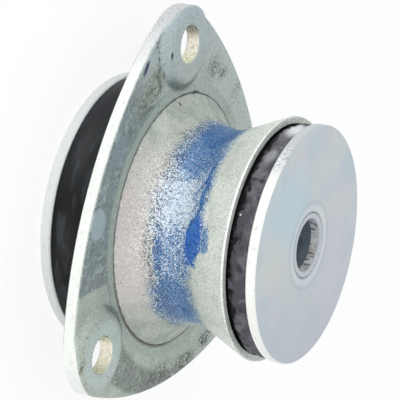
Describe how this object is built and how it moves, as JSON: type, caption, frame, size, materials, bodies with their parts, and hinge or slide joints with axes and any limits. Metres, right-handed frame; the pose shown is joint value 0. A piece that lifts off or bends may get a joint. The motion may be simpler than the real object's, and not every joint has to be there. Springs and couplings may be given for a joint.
{
  "type": "cab bump stop",
  "caption": "Rubber bush moulded in a waisted steel sleeve on an eared flange plate, with steel end discs on a central bolt tube; it cushions a vehicle cab on its frame.",
  "frame": {"origin": "The centre of the rear disc's outer face, on the bore's axis.", "axes": "+Z runs along the bore from the large rear disc up to the front disc. +X runs from the axis through one of the three bolt holes. +Y completes the right-handed set."},
  "size_m": [0.1237, 0.1252, 0.07],
  "materials": {
    "flange_plate": "zinc plated, dull and stained",
    "flared_sleeve": "zinc plated, with a blue paint mark round the waist",
    "bonded_rubber": "moulded, matt, with flash at the front",
    "inner_tube": "machined bore with fine lengthwise marks",
    "front_disc": "zinc plated, smooth, edge scratched",
    "rear_disc": "zinc plated, edge scratched"
  },
  "bodies": {
    "root": {"flange_plate": "flange_plate", "flared_sleeve": "flared_sleeve", "bonded_rubber": "bonded_rubber", "inner_tube": "inner_tube", "front_disc": "front_disc", "rear_disc": "rear_disc"}
  },
  "joints": []
}
